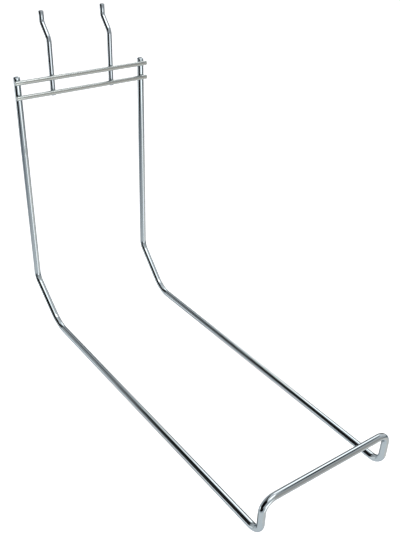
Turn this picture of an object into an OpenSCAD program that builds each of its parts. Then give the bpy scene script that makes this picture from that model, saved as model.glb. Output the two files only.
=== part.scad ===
// Wire display rack for a perforated panel.
//
// One thick wire is bent into a long open cradle: two uprights, a knee at the foot of each,
// two level arms and a raised front bar. Two thin crossbars are welded across the front of
// the uprights, and two peg hooks are welded behind the crossbars. The hooks' prongs pass
// through the panel and stand up behind it, and the backs of the uprights rest on its face.
//
// The origin is on the panel's face, midway between the two holes that the hooks use.
// +X is to the right of a person facing the panel, +Y goes into the panel and +Z is up.

/* [Frame wire] */
// Diameter of the frame wire
frame_d = 7.6; // [6:0.1:9]
// Distance between the centres of the two uprights
frame_w = 160; // [130:1:220]
// Distance between the centres of the two arms just in front of the knees
arm_w = 157; // [130:1:220]
// Distance between the centres of the two arms at the front
front_w = 161; // [130:1:220]
// Depth of the uprights' tips below the panel holes
tip_drop = 43.5; // [38:0.5:46]
// Depth of the arms below the panel holes
arm_drop = 346; // [200:1:450]
// Height of the knee's upper bend above the arms
knee_rise = 47.5; // [30:0.5:70]
// Distance that the knee carries the arms out from the uprights
knee_reach = 50; // [30:1:80]
// Distance from the uprights to the front bar
front_reach = 455.5; // [200:0.5:500]
// Height of the front bar above the arms
front_rise = 41.5; // [36:0.5:90]
// Centreline radius of the knee's upper bend
high_knee_bend_r = 18; // [8:1:24]
// Centreline radius of the knee's lower bend
low_knee_bend_r = 36; // [12:1:50]
// Centreline radius of the bends at the front
front_bend_r = 13; // [8:0.5:16]

/* [Crossbars] */
// Diameter of the crossbar wire
bar_d = 5; // [4:0.1:6]
// Length of each crossbar
bar_length = 170; // [169:0.5:240]
// Depth of the upper crossbar below the panel holes
upper_bar_drop = 49; // [48:0.5:55]
// Distance between the two crossbars
bar_spacing = 16.5; // [12:0.5:30]

/* [Peg hooks] */
// Diameter of the peg hook wire
hook_d = 5.6; // [4.5:0.1:6]
// Distance between the centres of the two hooks: three holes of a 25.4 mm panel
hook_spacing = 76.2; // [50.8:25.4:101.6]
// Length of each stem below the lower crossbar
stem_tail = 4.5; // [3:0.5:10]
// Thickness of the panel that the prongs reach behind
panel_t = 6.35; // [5:0.05:8]
// Gap between the panel's back and each prong
prong_gap = 0.25; // [0.1:0.05:1]
// Depth of the hooks' lower bends below the panel holes
low_bend_drop = 7.8; // [7:0.1:12]
// Height of the hooks' upper bends above the panel holes
high_bend_rise = 7.5; // [6:0.1:12]
// Height of the prongs' ends above the panel holes
prong_top = 19; // [16:0.5:30]
// Centreline radius of the hooks' bends
hook_bend_r = 8; // [6:0.5:12]

/* [Welds] */
// Depth that crossing wires sink into each other
weld_sink = 0.4; // [0.2:0.1:0.8]
// Radius of the bead of metal round each crossing
bead_r = 3.2; // [2.8:0.1:3.6]

/* [Hidden] */
$fn = 64;

// Height of the rounded end of each wire
frame_dome = 1.6;
bar_dome = 0.8;
hook_dome = 0.5;

// A wire draws down a little in a bend, and the bent stretch runs on into the straight ones.
bend_neck = 0.02;
bend_lap = 0.3;

// Distances of the wires' centrelines in front of the panel
frame_y = -frame_d / 2;
bar_y = frame_y - (frame_d + bar_d) / 2 + weld_sink;
stem_y = bar_y + (bar_d + hook_d) / 2 - weld_sink;
prong_y = panel_t + prong_gap + hook_d / 2;

upper_bar_z = -upper_bar_drop;
lower_bar_z = upper_bar_z - bar_spacing;
arm_z = -arm_drop;
front_y = frame_y - front_reach;

// The right half of the frame wire, from the tip of the upright to the front bar
frame_half = [
    [frame_w / 2, frame_y, -tip_drop],
    [frame_w / 2, frame_y, arm_z + knee_rise],
    [arm_w / 2, frame_y - knee_reach, arm_z],
    [front_w / 2, front_y, arm_z],
    [front_w / 2, front_y, arm_z + front_rise]
];
frame_bends = [high_knee_bend_r, low_knee_bend_r, front_bend_r, front_bend_r];

function unit(v) = v / norm(v);
function reversed(list) = [for (i = [len(list) - 1 : -1 : 0]) list[i]];
function mirrored(path) = [for (p = path) [-p.x, p.y, p.z]];
// Angle by which a path turns at its point i
function turn(path, i) =
    acos(unit(path[i] - path[i - 1]) * unit(path[i + 1] - path[i]));
// Length that the bend at point i takes from the straights on its two sides
function trim(path, bends, i) =
    (i == 0 || i == len(path) - 1) ? 0 : bends[i - 1] * tan(turn(path, i) / 2);

// Lays its child's Z axis along the direction from one point to another
module along(from, to) {
    way = unit(to - from);
    translate(from) rotate([0, acos(way.z), atan2(way.y, way.x)]) children();
}

// Rounded end of a wire, which reaches +Z by its height
module dome(d, height) {
    ball_r = (pow(d / 2, 2) + pow(height, 2)) / (2 * height);
    intersection() {
        translate([0, 0, -height]) cylinder(d = d, h = 2 * height);
        translate([0, 0, height - ball_r]) sphere(r = ball_r);
    }
}

module straight(path, bends, d, i) {
    way = unit(path[i + 1] - path[i]);
    start = path[i] + way * trim(path, bends, i);
    end = path[i + 1] - way * trim(path, bends, i + 1);
    along(start, end) cylinder(d = d, h = norm(end - start));
}

module bend(path, bends, d, i) {
    r = bends[i - 1];
    angle = turn(path, i);
    way_in = unit(path[i] - path[i - 1]);
    way_out = unit(path[i + 1] - path[i]);
    centre = path[i] + unit(way_out - way_in) * r / cos(angle / 2);
    outward = unit(path[i] - way_in * trim(path, bends, i) - centre);
    axle = cross(outward, way_in);
    lap = bend_lap / r * 180 / PI;
    multmatrix([
        [outward.x, way_in.x, axle.x, centre.x],
        [outward.y, way_in.y, axle.y, centre.y],
        [outward.z, way_in.z, axle.z, centre.z]
    ])
        rotate([0, 0, -lap])
            rotate_extrude(angle = angle + 2 * lap)
                translate([r, 0]) circle(r = d / 2 - bend_neck);
}

// Round wire with a bend at each inner point of its path and rounded ends
module wire(path, bends, d, dome_h) {
    last = len(path) - 1;
    ends = [path[0] + unit(path[1] - path[0]) * dome_h,
            path[last] + unit(path[last - 1] - path[last]) * dome_h];
    body = [for (i = [0 : last]) i == 0 ? ends[0] : i == last ? ends[1] : path[i]];
    for (i = [0 : last - 1]) straight(body, bends, d, i);
    if (last > 1) for (i = [1 : last - 1]) bend(body, bends, d, i);
    along(ends[0], path[0]) dome(d, dome_h);
    along(ends[1], path[last]) dome(d, dome_h);
}

module crossbar(z) {
    wire([[-bar_length / 2, bar_y, z], [bar_length / 2, bar_y, z]], [], bar_d, bar_dome);
}

module crossbars() {
    crossbar(upper_bar_z);
    crossbar(lower_bar_z);
}

module frame_wire() {
    path = concat(frame_half, reversed(mirrored(frame_half)));
    color("lightsteelblue")
        difference() {
            wire(path, concat(frame_bends, reversed(frame_bends)), frame_d, frame_dome);
            crossbars();
        }
}

module upper_crossbar() {
    color("silver") crossbar(upper_bar_z);
}

module lower_crossbar() {
    color("silver") crossbar(lower_bar_z);
}

module peg_hook(x) {
    path = [
        [x, stem_y, lower_bar_z - stem_tail],
        [x, stem_y, -low_bend_drop],
        [x, prong_y, high_bend_rise],
        [x, prong_y, prong_top]
    ];
    color("gainsboro")
        difference() {
            wire(path, [hook_bend_r, hook_bend_r], hook_d, hook_dome);
            crossbars();
        }
}

module left_peg_hook() {
    peg_hook(-hook_spacing / 2);
}

module right_peg_hook() {
    peg_hook(hook_spacing / 2);
}

// Metal squeezed out round the place where a crossbar meets an upright or a stem
module bead(x, z, wire_y, wire_d) {
    touch_y = bar_y + (bar_d - weld_sink) / 2;
    difference() {
        translate([x, touch_y, z]) sphere(r = bead_r);
        translate([x, wire_y, z - 2 * bead_r]) cylinder(d = wire_d, h = 4 * bead_r);
        crossbar(z);
    }
}

module weld_beads() {
    color("darkgray")
        for (side = [-1, 1], z = [upper_bar_z, lower_bar_z]) {
            bead(side * frame_w / 2, z, frame_y, frame_d);
            bead(side * hook_spacing / 2, z, stem_y, hook_d);
        }
}

frame_wire();
upper_crossbar();
lower_crossbar();
left_peg_hook();
right_peg_hook();
weld_beads();
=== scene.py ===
"""Looks of a chromed wire rack for a perforated panel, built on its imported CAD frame.

Everything is in metres, in the frame of the CAD model: the origin is on the panel's face,
+X is to the right of a person facing the panel, +Y goes into the panel and +Z is up.
"""

import math
from collections import namedtuple

import bmesh
import bpy
from mathutils import Matrix, Vector, noise


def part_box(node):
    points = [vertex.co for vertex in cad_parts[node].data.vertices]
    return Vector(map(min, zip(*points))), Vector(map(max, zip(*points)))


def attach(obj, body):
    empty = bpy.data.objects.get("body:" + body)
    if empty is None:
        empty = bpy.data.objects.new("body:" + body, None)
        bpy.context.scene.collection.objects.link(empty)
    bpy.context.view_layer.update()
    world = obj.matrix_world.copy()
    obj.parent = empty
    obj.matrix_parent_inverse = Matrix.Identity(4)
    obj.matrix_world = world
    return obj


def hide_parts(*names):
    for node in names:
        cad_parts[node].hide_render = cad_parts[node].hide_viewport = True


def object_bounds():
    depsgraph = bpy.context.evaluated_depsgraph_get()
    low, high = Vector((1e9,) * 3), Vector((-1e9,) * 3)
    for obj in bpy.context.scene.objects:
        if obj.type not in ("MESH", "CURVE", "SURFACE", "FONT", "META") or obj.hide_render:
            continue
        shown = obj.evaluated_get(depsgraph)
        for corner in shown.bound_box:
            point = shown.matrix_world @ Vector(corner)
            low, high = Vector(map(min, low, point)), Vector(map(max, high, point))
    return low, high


MM = 0.001

# The bent wires' own sizes that a node's box can't give
FRAME_D = 7.6 * MM
UPRIGHT_SPACING = 160 * MM
ARM_SPACING = 157 * MM
KNEE_RISE = 47.5 * MM
KNEE_REACH = 50 * MM
FRONT_RISE = 41.5 * MM
HIGH_KNEE_BEND = 18 * MM
LOW_KNEE_BEND = 36 * MM
FRONT_BEND = 13 * MM
HOOK_LOW_BEND = -7.8 * MM
HOOK_HIGH_BEND = 7.5 * MM
HOOK_BEND = 8 * MM

# Heights of the wires' rounded ends, and how square their rims are (2 is an ellipse)
FRAME_DOME = 1.6 * MM
BAR_DOME = 0.8 * MM
HOOK_DOME = 0.5 * MM
RIM_SQUARENESS = 2.7

# How finely a wire is swept
RING_SIDES = 48
STRAIGHT_STEP = 12 * MM
BEND_STEP = math.radians(3)
DOME_RINGS = 9
# Share by which a bent wire flattens in the plane of its bend
BEND_FLATTENING = 0.012

# Weld fillets: the gap between the wires that they bridge, and their unevenness
WELD_GAP = 0.9 * MM
WELD_UNEVEN = 0.22
# Moves the welds apart in the noise, so that each is uneven in its own way
WELD_NOISE_SPREAD = 997
# Shares of a fillet's reach: the most that its curve may cut in, and where its buried point lies
WELD_MOST_INSET = 0.6
WELD_CORE = 0.25
# How finely a fillet is made, round the crossing and across its section
WELD_SIDES = 56
WELD_STEPS = 10
# How often the search for a fillet's foot halves its range
WELD_HALVINGS = 30

# Patterns in the chrome: their scale across the wire and along it
HAZE_SCALE = (260, 90)
LINE_SCALE = (2600, 45)
RIPPLE_SCALE = (90, 25)
# Noise levels between which haze tints the plate, haze roughens it and lines roughen it
HAZE_TINTS = (0.35, 0.7)
HAZE_ROUGHENS = (0.3, 0.75)
LINES_ROUGHEN = (0.45, 0.8)
# Roughness of clear plate and of hazy plate, and what lines add, as shares of the finish's own
CLEAR_SHARE = 0.75
HAZY_SHARE = 1.5
LINE_SHARE = 0.5
# Pits: the scale of their pattern, and the radii of their floor and rim in it
PIT_SCALE = 170.0
PIT_RADII = (0.02, 0.05)
# What a pit adds to the roughness, and how deeply and how strongly it dents the plate
PIT_ROUGHNESS = 0.12
PIT_DEPTH = 0.01 * MM
PIT_STRENGTH = 0.5
# Tint of what the chrome mirrors toward the edges of its outline
EDGE_TINT = (0.7, 0.72, 0.74, 1.0)

# Camera: where it stands, where it looks, and its lens
CAMERA_PLACE = Vector((-0.4034, -0.7862, 0.1986))
CAMERA_HEADING = 36.76
CAMERA_DIP = 34.18
CAMERA_ROLL = 1.92
CAMERA_LENS = 49.45
CAMERA_SHIFT = (0.003, 0.0936)
CAMERA_CLIP = (0.01, 100.0)

# Studio floor: how far below the rack it lies, its half width, and its cells each way
FLOOR_DROP = 0.6
FLOOR_HALF = 9.0
FLOOR_CELLS = 8
# Its paper: the scale of its mottle, its roughness and the light that shines through it
MOTTLE_SCALE = 3.0
PAPER_ROUGHNESS = 0.9
PAPER_GLOW = 0.5

# A place on a wire: its centre, the wire's direction, the direction to its bend's middle, how bent
# it is (0 on a straight stretch, 1 halfway through a bend) and how far along the wire it lies
Station = namedtuple("Station", "centre tangent inward bent along")
# The corners, the middle and the size of a CAD node's box
Box = namedtuple("Box", "low high middle size")


def box(node):
    """The box of a CAD node, with its middle and its size."""
    low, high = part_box(node)
    return Box(low, high, (low + high) / 2, high - low)


# ---------------------------------------------------------------- wires


def straight_stations(start, end, along):
    """Evenly spaced stations from start to end, both included."""
    length = (end - start).length
    tangent = (end - start) / length
    count = max(1, math.ceil(length / STRAIGHT_STEP))
    return [
        Station(start.lerp(end, i / count), tangent, Vector(), 0.0, along + length * i / count)
        for i in range(count + 1)
    ]


def bend_stations(corner, way_in, way_out, radius, along):
    """Stations inside the arc that rounds a corner, without its two ends."""
    angle = way_in.angle(way_out)
    to_centre = (way_out - way_in).normalized()
    centre = corner + to_centre * radius / math.cos(angle / 2)
    axis = way_in.cross(way_out).normalized()
    first = corner - way_in * radius * math.tan(angle / 2) - centre
    count = math.ceil(angle / BEND_STEP)
    stations = []
    for i in range(1, count):
        turn = Matrix.Rotation(angle * i / count, 3, axis)
        outward = turn @ first
        stations.append(
            Station(
                centre + outward,
                turn @ way_in,
                -outward.normalized(),
                # It sets in quickly at both ends of the bend.
                math.sin(math.pi * i / count) ** 0.5,
                along + radius * angle * i / count,
            )
        )
    return stations, radius * angle


def wire_stations(points, bends, dome):
    """Stations along a wire through the points, with an arc of the given radius at each inner one."""
    points = [Vector(p) for p in points]
    ways = [(b - a).normalized() for a, b in zip(points, points[1:])]
    trims = [dome]
    for way_in, way_out, radius in zip(ways, ways[1:], bends):
        trims.append(radius * math.tan(way_in.angle(way_out) / 2))
    trims.append(dome)
    stations, along = [], 0.0
    for i, way in enumerate(ways):
        start = points[i] + way * trims[i]
        end = points[i + 1] - way * trims[i + 1]
        stations += straight_stations(start, end, along)
        along = stations[-1].along
        if i + 1 < len(ways):
            arc, length = bend_stations(points[i + 1], way, ways[i + 1], bends[i], along)
            stations += arc
            along += length
    return stations


def dome_steps(radius, height):
    """(radius, reach) of each ring of a rounded end, from the rim to near its middle."""
    power = 2 / RIM_SQUARENESS
    steps = []
    for i in range(1, DOME_RINGS):
        angle = math.pi / 2 * i / DOME_RINGS
        steps.append((radius * math.cos(angle) ** power, height * math.sin(angle) ** power))
    return steps


def add_ring(mesh, layer, station, side, radius):
    """One ring of vertices round a station. Each keeps its place round and along the wire."""
    other = station.tangent.cross(side)
    ring = []
    for i in range(RING_SIDES):
        angle = 2 * math.pi * i / RING_SIDES
        way = side * math.cos(angle) + other * math.sin(angle)
        flat = 1 - BEND_FLATTENING * station.bent * way.dot(station.inward) ** 2
        vertex = mesh.verts.new(station.centre + way * radius * flat)
        vertex[layer] = Vector((radius * math.cos(angle), radius * math.sin(angle), station.along))
        ring.append(vertex)
    return ring


def close_end(mesh, layer, ring, tip, along):
    """A fan of faces from the last ring of a rounded end to its tip."""
    pole = mesh.verts.new(tip)
    pole[layer] = Vector((0, 0, along))
    for a, b in zip(ring, ring[1:] + ring[:1]):
        mesh.faces.new((a, b, pole))


def wire(name, points, bends, diameter, dome):
    """A round wire swept along its path as one closed mesh with rounded ends."""
    mesh = bmesh.new()
    layer = mesh.verts.layers.float_vector.new("wire_coord")
    body = wire_stations(points, bends, dome)
    radius = diameter / 2
    first, last = body[0], body[-1]
    steps = dome_steps(radius, dome)
    rows = [
        (first._replace(centre=first.centre - first.tangent * reach, along=-reach), r)
        for r, reach in reversed(steps)
    ]
    rows += [(station, radius) for station in body]
    rows += [
        (last._replace(centre=last.centre + last.tangent * reach, along=last.along + reach), r)
        for r, reach in steps
    ]
    side = first.tangent.orthogonal()
    rings = []
    for station, r in rows:
        side = (side - station.tangent * side.dot(station.tangent)).normalized()
        rings.append(add_ring(mesh, layer, station, side, r))
    for low, high in zip(rings, rings[1:]):
        for i in range(RING_SIDES):
            j = (i + 1) % RING_SIDES
            mesh.faces.new((low[i], low[j], high[j], high[i]))
    close_end(mesh, layer, rings[0][::-1], first.centre - first.tangent * dome, -dome)
    close_end(mesh, layer, rings[-1], last.centre + last.tangent * dome, last.along + dome)
    return finished(name, mesh)


def finished(name, mesh):
    """A smooth-shaded object of the mesh, with its faces turned outward."""
    bmesh.ops.recalc_face_normals(mesh, faces=mesh.faces)
    for face in mesh.faces:
        face.smooth = True
    data = bpy.data.meshes.new(name)
    mesh.to_mesh(data)
    mesh.free()
    piece = bpy.data.objects.new(name, data)
    bpy.context.scene.collection.objects.link(piece)
    return piece


def frame_wire():
    """The long wire: two uprights, two knees, two arms and the raised front bar."""
    node = box("frame_wire")
    r = FRAME_D / 2
    upright_x, arm_x, front_x = UPRIGHT_SPACING / 2, ARM_SPACING / 2, node.high.x - r
    back = node.high.y - r
    front = node.low.y + r
    arm_z = node.low.z + r
    half = [
        Vector((upright_x, back, node.high.z)),
        Vector((upright_x, back, arm_z + KNEE_RISE)),
        Vector((arm_x, back - KNEE_REACH, arm_z)),
        Vector((front_x, front, arm_z)),
        Vector((front_x, front, arm_z + FRONT_RISE)),
    ]
    mirrored = [Vector((-p.x, p.y, p.z)) for p in reversed(half)]
    bends = [HIGH_KNEE_BEND, LOW_KNEE_BEND, FRONT_BEND, FRONT_BEND]
    return wire("chromed_frame_wire", half + mirrored, bends + bends[::-1], FRAME_D, FRAME_DOME)


def crossbar(node_name):
    """A straight thin wire along X."""
    node = box(node_name)
    ends = [Vector((x, node.middle.y, node.middle.z)) for x in (node.low.x, node.high.x)]
    return wire("chromed_" + node_name, ends, [], node.size.z, BAR_DOME)


def peg_hook(node_name):
    """A stem that rises to the panel's hole, crosses it and stands up behind it as a prong."""
    node = box(node_name)
    x, r = node.middle.x, node.size.x / 2
    stem, prong = node.low.y + r, node.high.y - r
    points = [
        Vector((x, stem, node.low.z)),
        Vector((x, stem, HOOK_LOW_BEND)),
        Vector((x, prong, HOOK_HIGH_BEND)),
        Vector((x, prong, node.high.z)),
    ]
    return wire("chromed_" + node_name, points, [HOOK_BEND, HOOK_BEND], node.size.x, HOOK_DOME)


# ---------------------------------------------------------------- welds


def weld_section(angle, bar_y, bar_r, wire_y, wire_r, gap):
    """Points (distance out, y) of a concave fillet between the two wires, seen at one angle round Y."""
    across, up = math.cos(angle) ** 2, math.sin(angle) ** 2

    def wire_face(out):
        return wire_y - math.sqrt(wire_r**2 - out**2 * across)

    def bar_face(out):
        return bar_y + math.sqrt(bar_r**2 - out**2 * up)

    near, far = 0.0, min(wire_r, bar_r)
    for _ in range(WELD_HALVINGS):
        out = (near + far) / 2
        if wire_face(out) - bar_face(out) < gap:
            near = out
        else:
            far = out
    wire_slope = out * across / (wire_y - wire_face(out))
    bar_slope = -out * up / (bar_face(out) - bar_y)
    opening = wire_face(out) - bar_face(out)
    inset = min(opening / (wire_slope - bar_slope), out * WELD_MOST_INSET)
    corner = (out - inset, wire_face(out) - wire_slope * inset)
    ends = (out, wire_face(out)), (out, bar_face(out))
    section = []
    for i in range(WELD_STEPS + 1):
        t = i / WELD_STEPS
        weights = (1 - t) ** 2, 2 * t * (1 - t), t**2
        section.append(
            tuple(
                weights[0] * ends[0][k] + weights[1] * corner[k] + weights[2] * ends[1][k]
                for k in (0, 1)
            )
        )
    # The last point is buried between the wires and closes the ring.
    section.append((out * WELD_CORE, (ends[0][1] + ends[1][1]) / 2))
    return section


def add_weld(mesh, layer, x, bar, wire_y, wire_r):
    """The ring of fillet metal round one crossing."""
    bar_r = bar.size.z / 2
    rings = []
    for i in range(WELD_SIDES):
        angle = 2 * math.pi * i / WELD_SIDES
        way = Vector((math.cos(angle), math.sin(angle), 0))
        noise_point = Vector((x, bar.middle.z, 0)) * WELD_NOISE_SPREAD + way
        gap = WELD_GAP * (1 + WELD_UNEVEN * noise.noise(noise_point))
        section = weld_section(angle, bar.middle.y, bar_r, wire_y, wire_r, gap)
        ring = []
        for out, y in section:
            point = Vector((x + out * math.cos(angle), y, bar.middle.z + out * math.sin(angle)))
            vertex = mesh.verts.new(point)
            vertex[layer] = point
            ring.append(vertex)
        rings.append(ring)
    for low, high in zip(rings, rings[1:] + rings[:1]):
        for i in range(len(low)):
            j = (i + 1) % len(low)
            mesh.faces.new((low[i], low[j], high[j], high[i]))


def weld_fillets():
    """The fillets where the two crossbars meet the two uprights and the two stems."""
    uprights = box("frame_wire")
    mesh = bmesh.new()
    layer = mesh.verts.layers.float_vector.new("wire_coord")
    for bar_name in ("upper_crossbar", "lower_crossbar"):
        bar = box(bar_name)
        for x in (-UPRIGHT_SPACING / 2, UPRIGHT_SPACING / 2):
            add_weld(mesh, layer, x, bar, uprights.high.y - FRAME_D / 2, FRAME_D / 2)
        for hook_name in ("left_peg_hook", "right_peg_hook"):
            hook = box(hook_name)
            r = hook.size.x / 2
            add_weld(mesh, layer, hook.middle.x, bar, hook.low.y + r, r)
    return finished("weld_fillets", mesh)


# ---------------------------------------------------------------- materials


class Tree:
    """A node tree that is written as a few chained calls."""

    def __init__(self, tree):
        self.tree = tree
        tree.nodes.clear()

    def node(self, kind, inputs=None, **settings):
        """A new node with its properties and inputs set. An input that is a socket is linked."""
        made = self.tree.nodes.new("ShaderNode" + kind)
        for key, value in settings.items():
            setattr(made, key, value)
        for key, value in (inputs or {}).items():
            if isinstance(value, bpy.types.NodeSocket):
                self.tree.links.new(value, made.inputs[key])
            else:
                made.inputs[key].default_value = value
        return made

    def math(self, operation, a, b=0.0):
        """A sum on two values. An operation on a single value ignores the second."""
        return self.node("Math", {0: a, 1: b}, operation=operation).outputs[0]

    def remap(self, value, low, high, to_low, to_high, smooth=False):
        """Carries the range from low to high over to another, and clamps to the other's ends."""
        kind = "SMOOTHSTEP" if smooth else "LINEAR"
        inputs = {0: value, 1: low, 2: high, 3: to_low, 4: to_high}
        return self.node("MapRange", inputs, interpolation_type=kind).outputs[0]

    def mix(self, factor, a, b):
        """Colour a where the factor is 0 and colour b where it is 1."""
        made = self.node("Mix", {0: factor, 6: a, 7: b}, data_type="RGBA")
        return made.outputs[2]

    def noise(self, vector, scale=1.0, detail=2.0, roughness=0.5):
        """A soft random pattern with levels from 0 to 1."""
        inputs = {"Vector": vector, "Scale": scale, "Detail": detail, "Roughness": roughness}
        return self.node("TexNoise", inputs).outputs[0]


def material_tree(name):
    """A new material and its empty node tree."""
    material = bpy.data.materials.new(name)
    material.use_nodes = True
    return material, Tree(material.node_tree)


def stretched(tree, vector, across, along):
    """Wire coordinates scaled apart, so that noise on them runs along the wire."""
    inputs = {"Vector": vector, "Scale": (across, across, along)}
    return tree.node("Mapping", inputs, vector_type="POINT").outputs[0]


def chrome(name, bright, dark, roughness, line_depth, wave_depth):
    """Chrome plate on drawn wire: faint lines along the wire, a slight ripple, pits and haze."""
    material, tree = material_tree(name)
    coord = tree.node("Attribute", attribute_name="wire_coord").outputs["Vector"]
    haze = tree.noise(stretched(tree, coord, *HAZE_SCALE), detail=3.0, roughness=0.6)
    lines = tree.noise(stretched(tree, coord, *LINE_SCALE), detail=2.0, roughness=0.55)
    ripple = tree.noise(stretched(tree, coord, *RIPPLE_SCALE), detail=1.0, roughness=0.4)
    cells = tree.node("TexVoronoi", {"Vector": coord, "Scale": PIT_SCALE, "Randomness": 1.0})
    pits = tree.remap(cells.outputs["Distance"], *PIT_RADII, 1.0, 0.0, smooth=True)
    colour = tree.mix(tree.remap(haze, *HAZE_TINTS, 0.0, 1.0), bright, dark)
    rough = tree.remap(haze, *HAZE_ROUGHENS, roughness * CLEAR_SHARE, roughness * HAZY_SHARE)
    line_rough = tree.remap(lines, *LINES_ROUGHEN, 0.0, roughness * LINE_SHARE)
    rough = tree.math("ADD", rough, line_rough)
    rough = tree.math("ADD", rough, tree.math("MULTIPLY", pits, PIT_ROUGHNESS))
    wave = tree.node("Bump", {"Strength": 1.0, "Distance": wave_depth, "Height": ripple}).outputs[0]
    drawn = tree.node(
        "Bump", {"Strength": 1.0, "Distance": line_depth, "Height": lines, "Normal": wave}
    ).outputs[0]
    dented = tree.node(
        "Bump",
        {"Strength": PIT_STRENGTH, "Distance": PIT_DEPTH, "Height": pits, "Normal": drawn},
        invert=True,
    ).outputs[0]
    shader = tree.node(
        "BsdfPrincipled",
        {
            "Base Color": colour,
            "Metallic": 1.0,
            "Roughness": rough,
            "Specular Tint": EDGE_TINT,
            "Normal": dented,
        },
    )
    tree.node("OutputMaterial", {"Surface": shader.outputs[0]})
    return material


def frame_chrome():
    """Bright plate with a bluish cast, on the thick wire."""
    return chrome(
        "frame_chrome",
        bright=(0.52, 0.57, 0.59, 1),
        dark=(0.48, 0.54, 0.57, 1),
        roughness=0.05,
        line_depth=0.0004 * MM,
        wave_depth=0.016 * MM,
    )


def crossbar_chrome():
    """Slightly duller, less blue plate."""
    return chrome(
        "crossbar_chrome",
        bright=(0.55, 0.58, 0.56, 1),
        dark=(0.5, 0.54, 0.53, 1),
        roughness=0.14,
        line_depth=0.0005 * MM,
        wave_depth=0.01 * MM,
    )


def hook_chrome():
    """Darker bluish plate."""
    return chrome(
        "hook_chrome",
        bright=(0.46, 0.5, 0.53, 1),
        dark=(0.41, 0.46, 0.49, 1),
        roughness=0.05,
        line_depth=0.0004 * MM,
        wave_depth=0.01 * MM,
    )


def weld_chrome():
    """The dullest and most uneven plate."""
    return chrome(
        "weld_chrome",
        bright=(0.5, 0.53, 0.54, 1),
        dark=(0.4, 0.44, 0.46, 1),
        roughness=0.16,
        line_depth=0.002 * MM,
        wave_depth=0.05 * MM,
    )


# ---------------------------------------------------------------- studio


def grey(level, warmth=0.0):
    """A grey of that level, redder where its warmth is over 0 and bluer where it is under."""
    return (level * (1 + warmth), level, level * (1 - warmth), 1.0)


def floor_white():
    """Pale sweep paper on a light table: matt, with a faint mottle."""
    material, tree = material_tree("floor_white")
    coord = tree.node("TexCoord").outputs["Object"]
    mottle = tree.noise(coord, MOTTLE_SCALE, detail=3.0)
    colour = tree.mix(mottle, grey(0.86), grey(0.9))
    shader = tree.node(
        "BsdfPrincipled",
        {
            "Base Color": colour,
            "Roughness": PAPER_ROUGHNESS,
            "Emission Color": grey(1.0),
            "Emission Strength": PAPER_GLOW,
        },
    )
    tree.node("OutputMaterial", {"Surface": shader.outputs[0]})
    return material


def floor():
    """A wide level floor well below the rack, which hangs clear of it."""
    low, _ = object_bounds()
    mesh = bmesh.new()
    bmesh.ops.create_grid(mesh, x_segments=FLOOR_CELLS, y_segments=FLOOR_CELLS, size=FLOOR_HALF)
    bmesh.ops.translate(mesh, verts=mesh.verts, vec=(0, 0, low.z - FLOOR_DROP))
    made = finished("studio_floor", mesh)
    made.data.materials.append(floor_white())
    # The chrome mirrors the studio's light and not the floor.
    made.visible_glossy = False


# The light of the walls, and the white that the camera itself sees beyond the floor
WALLS = grey(0.9, -0.03)
BACKDROP = grey(1.1)

# Lamps, screens and black flags, each laid over the ones before it. For each: the heading of its
# middle, clockwise from +Y seen from above, and its height over the horizon; half its width and
# half its height; its tilt, clockwise as the rack sees it, and the width of its soft edge; and its
# light. All angles are in degrees.
SOFT_BOXES = (
    # All round the horizon, and low on the left
    (0, 0, 180, 30, 0, 12, grey(0.62, -0.03)),
    (-85, -18, 54, 8, 0, 8, grey(0.35, -0.1)),
    # In front of the rack and to its right: warm light low down, two lamps and a tall screen
    (138, -36, 28, 16, 0, 12, grey(0.9, 0.06)),
    (171, -23, 9, 16, 0, 6, grey(2.4)),
    (178, -12, 20, 6, 0, 6, grey(2.4)),
    (146, 14, 13, 38, 0, 24, grey(0.48, 0.05)),
    # Right: a pale screen with a dark blue strip low down beside it
    (82, 12, 24, 20, 0, 12, grey(0.85)),
    (110, -13, 26, 7, 0, 8, grey(0.2, -0.15)),
    # High up: two lamps, a screen and a flag partly over them, and a lamp to the left
    (80, 64, 16, 3, 0, 4, grey(1.1)),
    (170, 65, 32, 7, 0, 6, grey(3.6)),
    (125, 48, 18, 8, 10, 8, grey(0.5, -0.05)),
    (102, 55, 13, 5, -4, 4, grey(0.0)),
    (-150, 52, 22, 7, -15, 6, grey(1.5)),
    # Beyond the rack: a screen and two dark flags, and two lamps to their right
    (-4, 32, 40, 13, 0, 14, grey(0.44, -0.03)),
    (-50, 32, 10, 18, 16, 6, grey(0.06)),
    (-22, 52, 22, 11, 10, 4, grey(0.0)),
    (49, 43, 8, 12, 0, 5, grey(2.4)),
    (50, 24, 8, 8, 0, 6, grey(1.1)),
    # Left: two black flags
    (-88, 22, 30, 38, -28, 4, grey(0.0)),
    (-94, -10, 38, 10, 0, 4, grey(0.0)),
    # Beyond the rack and low down: a lamp, a black flag and a dark one
    (-47, -13, 14, 6, 0, 4, grey(1.8)),
    (48, -8, 19, 17, 0, 6, grey(0.0)),
    (8, -52, 26, 7, 0, 8, grey(0.1)),
)


def soft_box(tree, light, direction, heading, height, half_width, half_height, tilt, soft, colour):
    """Lays one soft-edged box of light, given as in SOFT_BOXES, over the light so far."""
    turned = direction
    for axis, angle in (((0, 0, 1), heading), ((1, 0, 0), -height), ((0, 1, 0), -tilt)):
        inputs = {"Vector": turned, "Axis": axis, "Angle": math.radians(angle)}
        turned = tree.node("VectorRotate", inputs, rotation_type="AXIS_ANGLE").outputs[0]
    parts = tree.node("SeparateXYZ", {0: turned}).outputs
    sideways = tree.math("ABSOLUTE", tree.math("ARCTAN2", parts[0], parts[1]))
    upward = tree.math("ABSOLUTE", tree.math("ARCSINE", parts[2]))
    mask = 1.0
    for value, half in ((sideways, half_width), (upward, half_height)):
        near, far = math.radians(half - soft / 2), math.radians(half + soft / 2)
        mask = tree.math("MULTIPLY", tree.remap(value, near, far, 1.0, 0.0, smooth=True), mask)
    return tree.mix(mask, light, colour)


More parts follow.
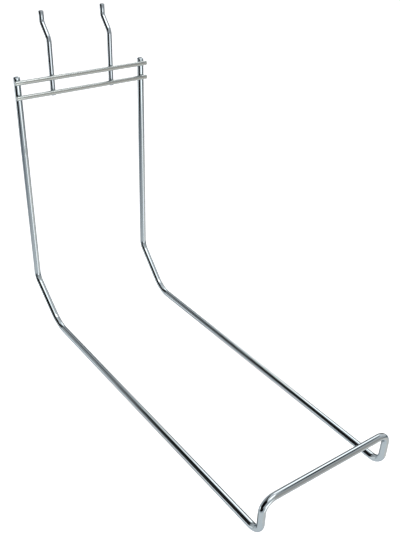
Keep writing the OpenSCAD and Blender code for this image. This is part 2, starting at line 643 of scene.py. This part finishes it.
def studio():
    """The light from all round, which the chrome mirrors, and the white behind the rack."""
    world = bpy.data.worlds.new("studio")
    bpy.context.scene.world = world
    world.use_nodes = True
    tree = Tree(world.node_tree)
    direction = tree.node("TexCoord").outputs["Generated"]
    light = WALLS
    for values in SOFT_BOXES:
        light = soft_box(tree, light, direction, *values)
    seen = tree.node("LightPath").outputs["Is Camera Ray"]
    shown = tree.mix(seen, light, BACKDROP)
    background = tree.node("Background", {"Color": shown, "Strength": 1.0})
    tree.node("OutputWorld", {"Surface": background.outputs[0]})
    bpy.context.scene.view_settings.view_transform = "Standard"


def camera():
    """The camera in front of the rack, to its left and above it, looking down across it."""
    data = bpy.data.cameras.new("camera")
    data.lens = CAMERA_LENS
    data.shift_x, data.shift_y = CAMERA_SHIFT
    data.clip_start, data.clip_end = CAMERA_CLIP
    made = bpy.data.objects.new("camera", data)
    turn = (
        Matrix.Rotation(math.radians(-CAMERA_HEADING), 4, "Z")
        @ Matrix.Rotation(math.radians(90 - CAMERA_DIP), 4, "X")
        @ Matrix.Rotation(math.radians(CAMERA_ROLL), 4, "Z")
    )
    made.matrix_world = Matrix.Translation(CAMERA_PLACE) @ turn
    bpy.context.scene.collection.objects.link(made)
    bpy.context.scene.camera = made


# ---------------------------------------------------------------- assembly


def place(piece, material, node):
    """Gives a piece its material and lets it stand for its CAD node."""
    piece.data.materials.append(material)
    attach(piece, "root")
    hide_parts(node)


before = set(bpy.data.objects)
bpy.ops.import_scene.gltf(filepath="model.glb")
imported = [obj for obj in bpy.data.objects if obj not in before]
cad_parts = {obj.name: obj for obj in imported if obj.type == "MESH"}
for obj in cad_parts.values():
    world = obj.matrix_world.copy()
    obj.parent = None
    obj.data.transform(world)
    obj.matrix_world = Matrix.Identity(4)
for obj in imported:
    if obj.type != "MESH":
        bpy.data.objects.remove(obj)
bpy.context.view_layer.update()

place(frame_wire(), frame_chrome(), "frame_wire")
bar_plate = crossbar_chrome()
for bar_node in ("upper_crossbar", "lower_crossbar"):
    place(crossbar(bar_node), bar_plate, bar_node)
hook_plate = hook_chrome()
for hook_node in ("left_peg_hook", "right_peg_hook"):
    place(peg_hook(hook_node), hook_plate, hook_node)
place(weld_fillets(), weld_chrome(), "weld_beads")

floor()
studio()
camera()
